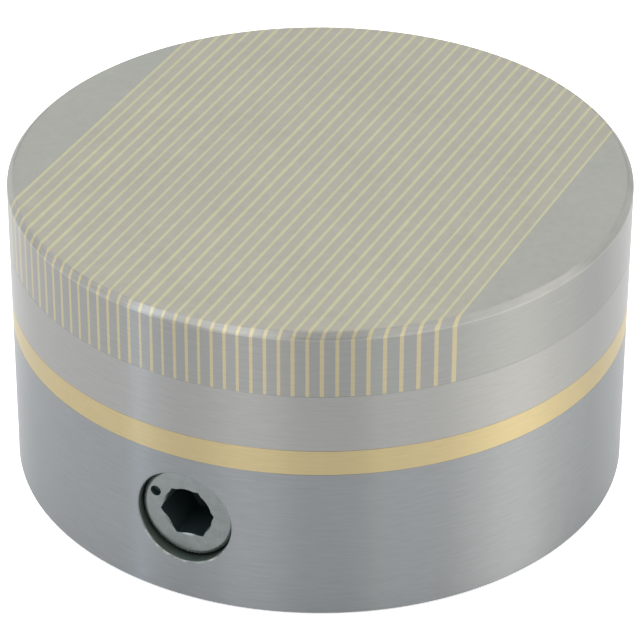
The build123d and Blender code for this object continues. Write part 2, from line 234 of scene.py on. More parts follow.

# %% [markdown]
# ## One finish for each turned metal
#
# Every band of the case has a grey or yellow tint, but the same lathe cut them all, so the lines and the
# gloss are written once and only the tint changes. Fewer lines show on the rings and the plate than on
# the base. The chamfer has a brighter tint of its own, which is painted highlight for the light it mirrors.

# %% Turned finishes
turned_grain = (240, 240, 3100)
quarter = 0.25
turned = {"gloss": 0.365, "grain": turned_grain, "depth": 0.000004, "lines": 0.4}
turned |= {"drawn": 1.0, "turn": quarter}
fine_turned = turned | {"lines": 0.28}
# The base's tint is partly its own grey and partly painted shade: it is set a little darker for the darker
# floor near the foot, which its lower part mirrors.
base_steel = cut_metal("turned_base_steel", (0.205, 0.214, 0.219), **turned)
ring_steel = cut_metal("turned_ring_steel", (0.255, 0.254, 0.246), **fine_turned)
bar_steel = cut_metal("turned_bar_steel", (0.229, 0.232, 0.224), **fine_turned)
ring_brass = cut_metal("turned_brass", (0.373, 0.305, 0.169), **fine_turned)
# The chamfer's two finishes are painted highlight: their tints are brighter than the side's.
chamfer_highlight_steel = cut_metal("turned_chamfer_highlight_steel", (0.300, 0.299, 0.280), **turned)
chamfer_highlight_brass = cut_metal("turned_chamfer_highlight_brass", (0.460, 0.405, 0.255), **turned)
strip_brass_side = cut_metal("turned_strip_brass", (0.361, 0.317, 0.206), **fine_turned)
print("turned finishes", [m.name for m in bpy.data.materials if m.name.startswith("turned")])

# %% [markdown]
# ## Ground metal
#
# The work face is ground flat. It could be given straight grinding lines, but the photograph shows none,
# so the same maker of cut metal gets an even grain, faint clouds and no drawn-out shine.

# %% Finishes of the work face
ground_grain = even(750)
ground = {"gloss": 0.42, "grain": ground_grain, "depth": 0.0000012, "lines": 0.22, "clouds": 0.12}
segment_ground = cut_metal("ground_segment_steel", (0.309, 0.315, 0.286), **ground)
bar_ground = cut_metal("ground_bar_steel", (0.344, 0.328, 0.280), **ground)
strip_ground = cut_metal("ground_strip_brass", (0.437, 0.424, 0.278), **ground)
print("ground finishes", [m.name for m in bpy.data.materials if m.name.startswith("ground")])

# %% [markdown]
# ## Polished, filed and bored metal
#
# The head of the shaft is polished and has clouded from handling, so its clouds are strong. A file leaves
# deep uneven marks, which is the same metal with much stronger lines and a brighter tint, the tint being
# painted highlight. The bore's tool lines run round the Y axis. The screws are blackened, with a fine matt
# grain. The socket gets a near-black finish with the same grain, which is painted shade inside its hole.

# %% Finishes of the shaft, its bore and the screws
fine_grain = even(1500)
bored_grain = (60, 4000, 60)
shaft_steel = cut_metal("polished_shaft_steel", (0.143, 0.157, 0.154), 0.28, even(600), 0.000004, 0.5, 0.4)
# The filed finish is partly painted highlight: its tint is brighter than the base's, and it goes only on the
# lower part of the bore's rim.
filed_highlight_steel = cut_metal("filed_highlight_steel", (0.23, 0.25, 0.235), 0.42, even(900), 0.00001, lines=2.4)
bore_steel = cut_metal("bored_steel", (0.22, 0.265, 0.235), 0.4, bored_grain, 0.000002, lines=0.2)
# Painted shade: the socket's finish is near-black, so that its deep hole looks shaded inside.
socket_painted_shade = cut_metal("painted_socket_shade", (0.06, 0.085, 0.088), 0.6, fine_grain, 0.000002, lines=0.3)
black_oxide = cut_metal("black_oxide", (0.045, 0.05, 0.05), 0.45, fine_grain, 0.000002, lines=0.3)
print("finishes of the drive", [m.name for m in (shaft_steel, filed_highlight_steel, bore_steel, socket_painted_shade)])

# %% [markdown]
# ## Metals and rubber of the inner pieces
#
# Inside are ground iron, nickel-plated magnets, a milled carrier, turned bronze, rolled brass and ground
# pins. The grain of each runs the way its tool or roller went. Rubber isn't a metal, so it has a small
# material of its own: black, with a pale bloom in patches.

# %% Finishes of the inner pieces
inner_iron = cut_metal("ground_soft_iron", (0.42, 0.42, 0.42), 0.4, (900, 120, 900), 0.000002, lines=0.16)
magnet_nickel = cut_metal("nickel_plating", (0.66, 0.66, 0.62), 0.22, even(500), 0.000001, lines=0.08)
aluminium = cut_metal("milled_aluminium", (0.72, 0.73, 0.74), 0.38, (60, 2500, 900), 0.000003, lines=0.14)
bronze = cut_metal("turned_bronze", (0.55, 0.37, 0.2), 0.34, (60, 3000, 60), 0.000002, lines=0.16)
sheet_brass = cut_metal("rolled_brass", (0.7, 0.56, 0.3), 0.35, (80, 2500, 80), 0.000001, lines=0.12)
dowel_steel = cut_metal("ground_dowel_steel", (0.6, 0.6, 0.6), 0.25, (60, 60, 4000), 0.000001, lines=0.1)


def matt_rubber():
    """Black rubber with a bloom that greys it in patches."""
    material, start = new_finish("matt_rubber")
    bloom = noise(start, stretched(start, even(800)))
    close_finish(start, bloom.mix((0.012, 0.012, 0.012, 1), (0.05, 0.05, 0.048, 1)), 0.6 + bloom * 0.2)
    return material


rubber = matt_rubber()
inner_metals = (inner_iron, magnet_nickel, aluminium, bronze, sheet_brass, dowel_steel)
print("finishes of the inner pieces", [m.name for m in (*inner_metals, rubber)])

# %% [markdown]
# ## Adding a primitive
#
# Pieces are modelled as by hand: add a primitive at its size and place, then shape it. An operator acts
# on all that is selected, so the first tool selects one piece and nothing else. The second puts a
# piece's place into its mesh. The others add a standing cylinder, a lying one and a box.

# %% Tools that add a primitive


def only(piece):
    """Makes this piece the one that is selected and active."""
    bpy.ops.object.select_all(action="DESELECT")
    piece.select_set(True)
    bpy.context.view_layer.objects.active = piece


def settle(piece, name):
    """Names a piece and puts its place into its mesh, so that its object sits at the origin."""
    only(piece)
    bpy.ops.object.transform_apply(location=True, rotation=True, scale=True)
    piece.name = name
    piece.data.name = name
    return piece


def upright(name, size, bottom, top, x=0.0, y=0.0, sides=64):
    """A cylinder that stands between two heights."""
    place = (x, y, (bottom + top) / 2)
    bpy.ops.object.select_all(action="DESELECT")
    bpy.ops.mesh.primitive_cylinder_add(vertices=sides, radius=size, depth=top - bottom, location=place)
    return settle(bpy.context.object, name)


def lying(name, size, near, far, x=0.0, z=shaft_z, sides=96):
    """A cylinder that lies along Y between two places on it."""
    place = (x, (near + far) / 2, z)
    bpy.ops.object.select_all(action="DESELECT")
    bpy.ops.mesh.primitive_cylinder_add(
        vertices=sides, radius=size, depth=abs(far - near), location=place, rotation=(math.pi / 2, 0, 0)
    )
    return settle(bpy.context.object, name)


def block(name, low, high):
    """A box between two corners."""
    low, high = Vector(low), Vector(high)
    bpy.ops.object.select_all(action="DESELECT")
    bpy.ops.mesh.primitive_cube_add(size=1, location=(low + high) / 2, scale=high - low)
    return settle(bpy.context.object, name)


print("tools that add a primitive are ready")

# %% [markdown]
# ## Shaping it
#
# In edit mode, edges or faces are picked by where they are, and beveled, bisected or spun. Holes and
# grooves are cut with a Boolean modifier that is applied at once, so that the mesh is final.

# %% Tools that shape a piece


def pick(piece, kind, test):
    """In edit mode, selects the faces, edges or vertices that pass a test, and says how many."""
    bpy.ops.mesh.select_mode(type=kind)
    bpy.ops.mesh.select_all(action="DESELECT")
    mesh = bmesh.from_edit_mesh(piece.data)
    group = {"VERT": mesh.verts, "EDGE": mesh.edges, "FACE": mesh.faces}[kind]
    chosen = [item for item in group if test(item)]
    for item in chosen:
        item.select_set(True)
    bmesh.update_edit_mesh(piece.data)
    return len(chosen)


def soften(piece, test, width, segments):
    """Bevels the edges that pass a test."""
    only(piece)
    bpy.ops.object.mode_set(mode="EDIT")
    found = pick(piece, "EDGE", test)
    if found:
        bpy.ops.mesh.bevel(offset=width, segments=segments, affect="EDGES", clamp_overlap=False)
    bpy.ops.object.mode_set(mode="OBJECT")
    return found


def cut(piece, cutter, operation="DIFFERENCE"):
    """Cuts one piece by another, and takes the cutter away."""
    only(piece)
    bpy.ops.object.modifier_add(type="BOOLEAN")
    tool = piece.modifiers[-1]
    tool.object = cutter
    tool.operation = operation
    tool.solver = "EXACT"
    bpy.ops.object.modifier_apply(modifier=tool.name)
    bpy.data.objects.remove(cutter)


def join(name, pieces):
    """Makes one piece of several."""
    bpy.ops.object.select_all(action="DESELECT")
    for piece in pieces:
        piece.select_set(True)
    bpy.context.view_layer.objects.active = pieces[0]
    if len(pieces) > 1:
        bpy.ops.object.join()
    pieces[0].name = name
    pieces[0].data.name = name
    return pieces[0]


def tidy_mesh(piece, smallest=0.00002):
    """Merges doubled vertices and turns all faces outwards."""
    only(piece)
    bpy.ops.object.mode_set(mode="EDIT")
    bpy.ops.mesh.select_all(action="SELECT")
    bpy.ops.mesh.remove_doubles(threshold=smallest)
    bpy.ops.mesh.normals_make_consistent(inside=False)
    bpy.ops.object.mode_set(mode="OBJECT")


print("tools that shape a piece are ready")

# %% [markdown]
# ## Finishing it
#
# A piece gets its finishes, its smooth shading, and the body that it rides on. A weighted normal lets
# the large flat faces lead the shading, so the narrow bevels beside them look round.

# %% Tools that finish a piece


def paint(piece, *finishes):
    """Gives a piece its finishes. The first covers it all; the others wait to be given to faces."""
    piece.data.materials.clear()
    for finish in finishes:
        piece.data.materials.append(finish)


def paint_faces(piece, number, test):
    """Gives the finish with this number to the faces that pass a test."""
    found = [face for face in piece.data.polygons if test(face)]
    for face in found:
        face.material_index = number
    return len(found)


def smooth(piece):
    """Rounds the shading over small angles, led by the largest faces, so that flats stay flat."""
    only(piece)
    bpy.ops.object.shade_smooth_by_angle(angle=math.radians(35))
    bpy.ops.object.modifier_add(type="WEIGHTED_NORMAL")
    piece.modifiers[-1].keep_sharp = True
    bpy.ops.object.modifier_apply(modifier=piece.modifiers[-1].name)


def place_piece(piece, body, slot, *nodes):
    """Lets a piece ride on its body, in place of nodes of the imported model."""
    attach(piece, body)
    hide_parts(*nodes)
    print(piece.name, len(piece.data.polygons), "faces")


def at_height(level, near=0.00001):
    """A test for edges that lie at one height."""
    return lambda edge: all(abs(v.co.z - level) < near for v in edge.verts)


def outer_edge(level, near=0.00001):
    """A test for edges at one height on the outside of the case."""
    flat = at_height(level, near)
    return lambda edge: flat(edge) and all(math.hypot(v.co.x, v.co.y) > radius * 0.97 for v in edge.verts)


print("tools that finish a piece are ready")

# %% [markdown]
# ## Holes that several pieces share
#
# Six screws and two dowels go up through the whole case. Their places are read from the model: each
# loose part of the screws' mesh has its own middle. One row of cylinders then cuts each layer.

# %% Find the screws and the dowels
case_sides = 360


def middles(node):
    """The middle of each separate solid of a node, seen from above."""
    bpy.ops.object.select_all(action="DESELECT")
    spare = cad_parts[node].copy()
    spare.data = spare.data.copy()
    spare.parent = None
    bpy.context.collection.objects.link(spare)
    only(spare)
    bpy.ops.object.mode_set(mode="EDIT")
    bpy.ops.mesh.select_all(action="SELECT")
    bpy.ops.mesh.remove_doubles(threshold=0.000001)
    bpy.ops.mesh.separate(type="LOOSE")
    bpy.ops.object.mode_set(mode="OBJECT")
    found = []
    for part in list(bpy.context.selected_objects):
        corners = [Vector(corner) for corner in part.bound_box]
        found.append((corners[0] + corners[6]) / 2)
        bpy.data.objects.remove(part)
    return found


screw_places = middles("case_screws")
dowel_places = middles("locating_dowels")
screw_hole = 2.25 * MM
tapped_hole = 2.02 * MM
dowel_hole = 2.02 * MM
print("screws", len(screw_places), "dowels", len(dowel_places))


def case_holes(screw_span, dowel_span, screw_size=screw_hole):
    """Cutters for the screws and for the dowels, each kind between two heights of its own."""
    pins = [upright("cutter", screw_size, *screw_span, p.x, p.y, sides=32) for p in screw_places]
    pins += [upright("cutter", dowel_hole, *dowel_span, p.x, p.y, sides=32) for p in dowel_places]
    return join("cutters", pins)


# %% [markdown]
# ## The base
#
# The base is a turned steel disc with a chamfer round its foot. It could be spun from a profile, but its
# pocket isn't round, so a cylinder is beveled and cut instead. The cutters follow the model: the pocket
# for the carrier, the cross bore for the shaft, and the holes from below.

# %% Turn the base
bottom_chamfer = 0.5 * MM
edge_break = 0.12 * MM
base = upright("base_body_turned", radius, 0, base_top, sides=case_sides)
soften(base, outer_edge(0), bottom_chamfer, 1)
soften(base, outer_edge(0), edge_break, 2)
soften(base, outer_edge(bottom_chamfer), edge_break, 2)
fine_break = 0.05 * MM
soften(base, outer_edge(base_top), fine_break, 2)
print("base", len(base.data.polygons), "faces before cutting")

# %% Cut the pocket
pocket_floor = 8.0 * MM
pocket_radius = 40.0 * MM
pocket_half_width = 31.0 * MM
pocket_corner = 4.0 * MM
cutting_run = 1.0 * MM
touching = 0.01 * MM


def pocket_cutter():
    """A disc cut flat at the front and the back, with rounded corners."""
    room = upright("pocket", pocket_radius, pocket_floor, base_top + cutting_run, sides=128)
    bpy.ops.object.mode_set(mode="EDIT")
    for side in (-1, 1):
        bpy.ops.mesh.select_all(action="SELECT")
        bpy.ops.mesh.bisect(
            plane_co=(0, side * pocket_half_width, 0), plane_no=(0, side, 0), use_fill=True, clear_outer=True
        )
    bpy.ops.object.mode_set(mode="OBJECT")

    def is_corner(edge):
        on_flat = all(abs(abs(v.co.y) - pocket_half_width) < touching for v in edge.verts)
        return on_flat and abs(edge.verts[0].co.z - edge.verts[1].co.z) > cutting_run

    soften(room, is_corner, pocket_corner, 6)
    return room


cut(base, pocket_cutter())
print("base", len(base.data.polygons), "faces with its pocket")

# %% [markdown]
# ## The floor of the pocket
#
# The carrier slides on two brass keys, and each is held in a groove by two screws. The drive block
# swings lowest at the middle of its way, where the floor has a shallow dip for it. One cutter after
# another is simplest here, because the grooves and the holes of their screws overlap.

# %% Cut the grooves, the tapped holes and the dip
dip_floor = 7.4 * MM
dip_half_width = 9.6 * MM
dip_back = -21.4 * MM
key_play = 0.1 * MM
key_screw_x = 22.0 * MM
key_screw_y = 10.7 * MM
key_screw_hole = 1.52 * MM
key_screw_end = 2.0 * MM


def floor_cutters():
    """The dip under the drive block, the grooves of the two keys, and the tapped holes of their screws."""
    above_floor = pocket_floor + cutting_run
    dip_low = (-dip_half_width, -pocket_half_width, dip_floor)
    cutters = [block("dip", dip_low, (dip_half_width, dip_back, above_floor))]
    for key in ("guide_key_front", "guide_key_rear"):
        low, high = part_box(key)
        play = Vector((key_play, key_play, 0))
        cutters.append(block("groove", low - play, Vector((high.x, high.y, above_floor)) + play))
    for x in (-key_screw_x, key_screw_x):
        for y in (-key_screw_y, key_screw_y):
            cutters.append(upright("cutter", key_screw_hole, key_screw_end, above_floor, x, y, sides=32))
    return cutters


for floor_cutter in floor_cutters():
    cut(base, floor_cutter)
print("base", len(base.data.polygons), "faces with the pocket's floor")

# %% Bore it
bore_radius = 8.0 * MM
cut(base, lying("bore", bore_radius, -pocket_half_width + cutting_run, -radius - cutting_run, sides=160))
tidy_mesh(base, 0.00004)
print("base", len(base.data.polygons), "faces after the bore")

# %% [markdown]
# ## The mouth of the bore
#
# In the photograph the mouth has a thin bright rim. Its edge was broken with a file. The edge is where the
# outside and the bore meet, so it is picked by both radii and beveled. Later, the lower part of that bevel
# gets the filed finish: its file marks are real, and its brighter tint there is painted highlight.

# %% Break the edge of the bore's mouth
rim_width = 0.3 * MM


def on_mouth(edge):
    """An edge that lies both on the outside of the case and on the wall of the bore."""
    for vertex in edge.verts:
        outside = abs(math.hypot(vertex.co.x, vertex.co.y) - radius) < 0.00003
        in_bore = abs(math.hypot(vertex.co.x, vertex.co.z - shaft_z) - bore_radius) < 0.00004
        if not (outside and in_bore and vertex.co.y < 0):
            return False
    return True


print("mouth edges", soften(base, on_mouth, rim_width, 3))

# %% [markdown]
# ## Holes from below
#
# The underside has six counterbores for the case screws, four holes that the chuck is mounted by, a
# round recess that centres it on a machine table, and the hole of the stop screw. They all go in from
# one side, so their cutters are joined and cut at once.

# %% Cut the holes from below
screw_seat = 4.6 * MM
counterbore_radius = 4.0 * MM
mount_circle = 33.0 * MM
mount_hole_radius = 2.5 * MM
mount_hole_top = 6.5 * MM
recess_radius = 10.0 * MM
recess_depth = 3.0 * MM
dowel_depth = 8.5 * MM
stop_low, stop_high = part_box("stop_screw")
stop_y = (stop_low.y + stop_high.y) / 2
stop_radius = (stop_high.x - stop_low.x) / 2


def holes_from_below():
    """Counterbores, mounting holes, the hole for the stop screw and the round recess."""
    bottom = -cutting_run
    cutters = []
    for place in screw_places:
        cutters.append(upright("cutter", counterbore_radius, bottom, screw_seat, place.x, place.y, sides=48))
    for k in range(4):
        angle = math.radians(45 + 90 * k)
        x, y = mount_circle * math.cos(angle), mount_circle * math.sin(angle)
        cutters.append(upright("cutter", mount_hole_radius, bottom, mount_hole_top, x, y, sides=48))
    in_bore = shaft_z - bore_radius / 2
    cutters.append(upright("cutter", stop_radius + 0.02 * MM, bottom, in_bore, 0, stop_y, sides=48))
    cutters.append(upright("cutter", recess_radius, bottom, recess_depth, sides=96))
    return join("cutters", cutters)


cut(base, holes_from_below())
above_base = base_top + cutting_run
cut(base, case_holes((screw_seat - 0.1 * MM, above_base), (base_top - dowel_depth, above_base)))
print("base", len(base.data.polygons), "faces with all its holes")

# %% Give the base its finishes
rim_highlight_drop = 4.5 * MM


def in_bore_wall(face):
    """A face of the bore's wall or of the pocket, which are bored and not turned outside."""
    middle = face.center
    inside = math.hypot(middle.x, middle.y) < radius - rim_width
    return inside and pocket_floor - MM < middle.z < base_top - 0.1 * MM


def on_rim_highlight(face):
    """A face of the broken edge, in its lower part, where file marks and a painted highlight make it bright.
    """
    off_axis = math.hypot(face.center.x, face.center.z - shaft_z)
    tilt = abs(face.normal.x * face.center.x + face.normal.y * face.center.y) / radius
    near = bore_radius + 0.02 * MM < off_axis < bore_radius + 1.1 * rim_width
    return face.center.y < 0 and face.center.z < shaft_z - rim_highlight_drop and near and tilt < 0.97


# The lower part of the rim gets the filed finish, whose brighter tint is painted highlight.
paint(base, base_steel, bore_steel, filed_highlight_steel)
print("bored faces", paint_faces(base, 1, in_bore_wall), "rim faces", paint_faces(base, 2, on_rim_highlight))
smooth(base)
place_piece(base, "case", "base_steel", "base_body")

# %% [markdown]
# ## The two rings
#
# A ring has the same section all the way round, so it is spun: a plane is set on edge and sized to the
# section, the outer corners are beveled, the face is deleted to leave its outline, and the outline is
# spun round the Z axis. The brass ring has a step inside, where the slip sheet lies. Cutting the holes
# can leave doubled vertices where a cutter meets the seam of the spin, so those are merged after it.

# %% Spin a ring


def spun_ring(name, inner, bottom, top, bottom_break, top_break):
    """A ring of rectangular section with its two outer edges broken."""
    bpy.ops.object.select_all(action="DESELECT")
    place = ((inner + radius) / 2, 0, (bottom + top) / 2)
    bpy.ops.mesh.primitive_plane_add(size=1, location=place, rotation=(math.pi / 2, 0, 0))
    ring = bpy.context.object
    ring.scale = (radius - inner, top - bottom, 1)
    settle(ring, name)
    bpy.ops.object.mode_set(mode="EDIT")
    for level, width in ((bottom, bottom_break), (top, top_break)):
        pick(ring, "VERT", lambda v: abs(v.co.z - level) < 0.000001 and abs(v.co.x - radius) < 0.000001)
        bpy.ops.mesh.bevel(offset=width, segments=3, affect="VERTICES")
    bpy.ops.mesh.select_all(action="SELECT")
    bpy.ops.mesh.delete(type="ONLY_FACE")
    bpy.ops.mesh.select_all(action="SELECT")
    bpy.ops.mesh.spin(steps=case_sides, angle=2 * math.pi, center=(0, 0, 0), axis=(0, 0, 1))
    bpy.ops.object.mode_set(mode="OBJECT")
    tidy_mesh(ring)
    return ring


seam_gap = 0.000005
brass = spun_ring("brass_ring_turned", pocket_radius, base_top, brass_top, 0.04 * MM, 0.06 * MM)
cut(brass, upright("cutter", sheet_radius + 0.1 * MM, sheet_bottom, brass_top + cutting_run, sides=128))
through_brass = (base_top - cutting_run, brass_top + cutting_run)
cut(brass, case_holes(through_brass, through_brass))
tidy_mesh(brass, seam_gap)
paint(brass, ring_brass)
smooth(brass)
place_piece(brass, "case", "brass", "brass_ring")

# %% The steel ring above it
magnet_bore = 38.5 * MM
steel_ring = spun_ring("upper_ring_turned", magnet_bore, brass_top, plate_bottom, 0.08 * MM, 0.06 * MM)
through_ring = (brass_top - cutting_run, plate_bottom + cutting_run)
cut(steel_ring, case_holes(through_ring, through_ring))
tidy_mesh(steel_ring, seam_gap)
paint(steel_ring, ring_steel)
smooth(steel_ring)
place_piece(steel_ring, "case", "ring_steel", "upper_ring")

# %% [markdown]
# ## The pole plate
#
# The maker brazes steel bars and brass strips between two solid segments, and turns and grinds the pack
# as one disc. It is modelled the same way: one disc gets its chamfer and its blind holes, and is then
# sliced, so that the chamfer runs on from piece to piece.

# %% Turn the disc
top_chamfer = 0.9 * MM
chamfer_softness = 0.22 * MM
disc = upright("plate_disc", radius, plate_bottom, plate_top, sides=case_sides)
soften(disc, outer_edge(plate_top), top_chamfer, 1)
soften(disc, outer_edge(plate_top), chamfer_softness, 3)
soften(disc, outer_edge(plate_top - top_chamfer), chamfer_softness, 3)
soften(disc, outer_edge(plate_bottom), fine_break, 2)
below_plate = plate_bottom - cutting_run
screw_end = plate_top - 2.5 * MM
dowel_end = plate_bottom + 6.5 * MM
cut(disc, case_holes((below_plate, screw_end), (below_plate, dowel_end), tapped_hole))
print("disc", len(disc.data.polygons), "faces")

# %% [markdown]
# ## Slicing it
#
# A bisect with its fill turned on cuts a closed shape and closes it again. Two of them leave one slice.
# It takes corners within its threshold, 0.1 mm, as already on the plane, so some slices are off by up to
# that much. The strips stand evenly between the segments, so their places follow from their count.

# %% Slice the disc
strip_thickness = 0.5 * MM
strip_count = len(middles("brass_strips"))
first_strip = left_inner + strip_thickness / 2
last_strip = right_inner - strip_thickness / 2
strip_pitch = (last_strip - first_strip) / (strip_count - 1)
strip_places = [first_strip + k * strip_pitch for k in range(strip_count)]
print("strips", strip_count, "pitch in mm", round(strip_pitch / MM, 4))


def plate_slice(left, right):
    """What the disc holds between two planes across X."""
    piece = disc.copy()
    piece.data = disc.data.copy()
    bpy.context.collection.objects.link(piece)
    only(piece)
    bpy.ops.object.mode_set(mode="EDIT")
    if left is not None:
        bpy.ops.mesh.select_all(action="SELECT")
        bpy.ops.mesh.bisect(plane_co=(left, 0, 0), plane_no=(-1, 0, 0), use_fill=True, clear_outer=True)
    if right is not None:
        bpy.ops.mesh.select_all(action="SELECT")
        bpy.ops.mesh.bisect(plane_co=(right, 0, 0), plane_no=(1, 0, 0), use_fill=True, clear_outer=True)
    bpy.ops.object.mode_set(mode="OBJECT")
    return piece


half = strip_thickness / 2
strips = join("brass_strips_ground", [plate_slice(x - half, x + half) for x in strip_places])
neighbours = zip(strip_places, strip_places[1:])
bars = join("pole_plate_bars_ground", [plate_slice(left + half, right - half) for left, right in neighbours])
left_segment = join("left_segment_ground", [plate_slice(None, left_inner)])
right_segment = join("right_segment_ground", [plate_slice(right_inner, None)])
bpy.data.objects.remove(disc)
print("bars", len(bars.data.polygons), "faces, strips", len(strips.data.polygons))

# %% [markdown]
# ## Finishes of the plate
#
# The top is ground and the side is turned. The chamfer is turned too, and its brighter tint is painted
# highlight. Faces get their finish by their place and the way they look. A drawn-out shine runs round the
# middle of a mesh's texture space, which Blender puts in the middle of each mesh. These pieces are slices
# of one disc, so each is given the disc's own axis instead. Otherwise the shine would jump from slice to
# slice.

# %% Give the plate its finishes
side_zone = 1.2 * MM
chamfer_zone = 1.3 * MM


def on_side(face):
    """A face of the turned outside, the chamfer counted in."""
    return abs(face.normal.z) < 0.9 and math.hypot(face.center.x, face.center.y) > radius - side_zone


def on_chamfer_highlight(face):
    """A face of the turned chamfer at the top, which gets the painted highlight."""
    return 0.1 < face.normal.z < 0.99 and face.center.z > plate_top - chamfer_zone


def dress_plate(piece, side_finish, chamfer_highlight_finish, top_finish, slot, node):
    """Ground finish on top, turned finish round the side, and a brighter one on the chamfer as painted
    highlight.
    """
    paint(piece, top_finish, side_finish, chamfer_highlight_finish)
    paint_faces(piece, 1, on_side)
    paint_faces(piece, 2, on_chamfer_highlight)
    piece.data.use_auto_texspace = False
    piece.data.texspace_location = (0, 0, plate_bottom)
    piece.data.texspace_size = (radius, radius, radius)
    smooth(piece)
    place_piece(piece, "case", slot, node)


dress_plate(bars, bar_steel, chamfer_highlight_steel, bar_ground, "plate_steel", "pole_plate_bars")
dress_plate(strips, strip_brass_side, chamfer_highlight_brass, strip_ground, "brass", "brass_strips")
dress_plate(left_segment, bar_steel, chamfer_highlight_steel, segment_ground, "plate_steel", "pole_plate_left_segment")
dress_plate(right_segment, bar_steel, chamfer_highlight_steel, segment_ground, "plate_steel", "pole_plate_right_segment")

# %% [markdown]
# ## The drive shaft
#
# The head that shows in the bore is polished, with a rounded edge, a hexagon socket and a small drilled
# dimple beside it; the socket and the dimple are painted near-black as shade. Behind the head come the
# journal and the eccentric pin. The pin stands off the axis, so the shaft can't be spun as one profile:
# three lying cylinders are united instead.

# %% Turn the shaft
face_rounding = 1.0 * MM
head_back = face_y + 12.0 * MM
journal_radius = 5.5 * MM
pin_radius = 2.5 * MM
pin_offset = 3.0 * MM
journal_end = -pocket_half_width + 0.1 * MM
shaft = lying("drive_shaft_polished", head_radius, face_y, head_back, sides=192)


def on_face_rim(edge):
    """An edge that lies in the plane of the shaft's face."""
    return all(abs(v.co.y - face_y) < touching for v in edge.verts)


soften(shaft, on_face_rim, face_rounding, 6)
cut(shaft, lying("journal", journal_radius, head_back - cutting_run, journal_end, sides=96), "UNION")
cut(shaft, lying("pin", pin_radius, journal_end - cutting_run, shaft_high.y, x=pin_offset, sides=64), "UNION")
print("shaft", len(shaft.data.polygons), "faces")

# %% [markdown]
# ## The seal's groove and the stop slot
#
# Behind the rounded edge the head has a groove all the way round for its rubber ring, and a slot half
# the way round, in which the tip of the stop screw runs. A ring with a hollow core cuts the first. Half
# of such a ring cuts the second, and an upright cutter at each end rounds it, as an end mill does.

# %% Cut the seal's groove and the stop slot
groove_front = face_y + 2.6 * MM
groove_back = groove_front + 2.0 * MM
groove_radius = head_radius - 1.6 * MM
slot_half = 1.6 * MM
slot_radius = head_radius - 1.5 * MM
beyond = 20 * MM


def ring_cutter(inner, near, far):
    """A cutter for a groove round the head."""
    ring = lying("ring", bore_radius + cutting_run, near, far, sides=128)
    cut(ring, lying("core", inner, near - cutting_run, far + cutting_run, sides=128))
    return ring


cut(shaft, ring_cutter(groove_radius, groove_front, groove_back))
half_ring = ring_cutter(slot_radius, stop_y - slot_half, stop_y + slot_half)
cut(half_ring, block("far_side", (-beyond, stop_y - beyond, 0), (0, stop_y + beyond, 2 * beyond)))
cut(shaft, half_ring)
slot_mouth = bore_radius + cutting_run
for low, high in ((slot_radius, slot_mouth), (-slot_mouth, -slot_radius)):
    cut(shaft, upright("slot_end", slot_half, shaft_z + low, shaft_z + high, 0, stop_y, sides=48))
print("shaft", len(shaft.data.polygons), "faces with its groove and slot")

# %% [markdown]
# ## The hexagon socket
#
# A cylinder primitive with six sides is a hexagon prism. It is turned as the photograph shows it and
# cut from the face. A flat cone then countersinks its mouth, which bows the edges of the hexagon
# outwards, as the photograph shows. A small cylinder cuts the dimple, and its edge is broken.

# %% Cut the socket and the dimple
hex_across_flats = 8.0 * MM
hex_radius = hex_across_flats / math.sqrt(3)
hex_depth = 8.0 * MM
hex_turn = math.radians(5.4)
lip_radius = 4.26 * MM
lip_depth = 0.28 * MM
dimple_radius = 0.85 * MM
dimple_depth = 1.0 * MM
dimple_angle = hex_turn + math.radians(150)
dimple_circle = (hex_across_flats / 2 + head_radius) / 2
socket = lying("socket", hex_radius, face_y - cutting_run, face_y + hex_depth, sides=6)
only(socket)
bpy.ops.object.mode_set(mode="EDIT")
bpy.ops.mesh.select_all(action="SELECT")
corner_now = math.atan2(socket.data.vertices[0].co.z - shaft_z, socket.data.vertices[0].co.x)
bpy.ops.transform.rotate(
    value=hex_turn - corner_now, orient_axis="Y", orient_type="GLOBAL", center_override=(0, face_y, shaft_z)
)
bpy.ops.object.mode_set(mode="OBJECT")
cut(shaft, socket)
bpy.ops.object.select_all(action="DESELECT")
bpy.ops.mesh.primitive_cone_add(
    vertices=96, radius1=lip_radius - lip_depth, radius2=lip_radius + cutting_run,
    depth=lip_depth + cutting_run, location=(0, face_y + (lip_depth - cutting_run) / 2, shaft_z),
    rotation=(math.pi / 2, 0, 0)
)
cut(shaft, settle(bpy.context.object, "countersink"))
dimple_x = dimple_circle * math.cos(dimple_angle)
dimple_z = shaft_z + dimple_circle * math.sin(dimple_angle)
dimple_end = face_y + dimple_depth
cut(shaft, lying("dimple", dimple_radius, face_y - cutting_run, dimple_end, dimple_x, dimple_z, sides=32))
tidy_mesh(shaft, 0.00001)


def on_dimple_mouth(edge):
    """An edge on the face that belongs to the dimple."""
    reach = dimple_radius + touching
    around = all(math.hypot(v.co.x - dimple_x, v.co.z - dimple_z) < reach for v in edge.verts)
    return on_face_rim(edge) and around


print("dimple edges", soften(shaft, on_dimple_mouth, edge_break, 2))

# %% Give the shaft its finishes


def in_socket_shade(face):
    """A face inside the socket or the dimple, where the near-black finish is painted shade."""
    middle = face.center
    off_axis = math.hypot(middle.x, middle.z - shaft_z)
    in_hole = math.hypot(middle.x - dimple_x, middle.z - dimple_z) < dimple_radius + 0.01 * MM
    deep = face_y + lip_depth < middle.y < face_y + hex_depth + cutting_run
    return deep and (off_axis < hex_radius + 0.01 * MM or in_hole)


# The socket and the dimple get the near-black finish as painted shade.
paint(shaft, shaft_steel, socket_painted_shade)
print("socket faces", paint_faces(shaft, 1, in_socket_shade))
smooth(shaft)
place_piece(shaft, "shaft", "shaft_steel", "drive_shaft")

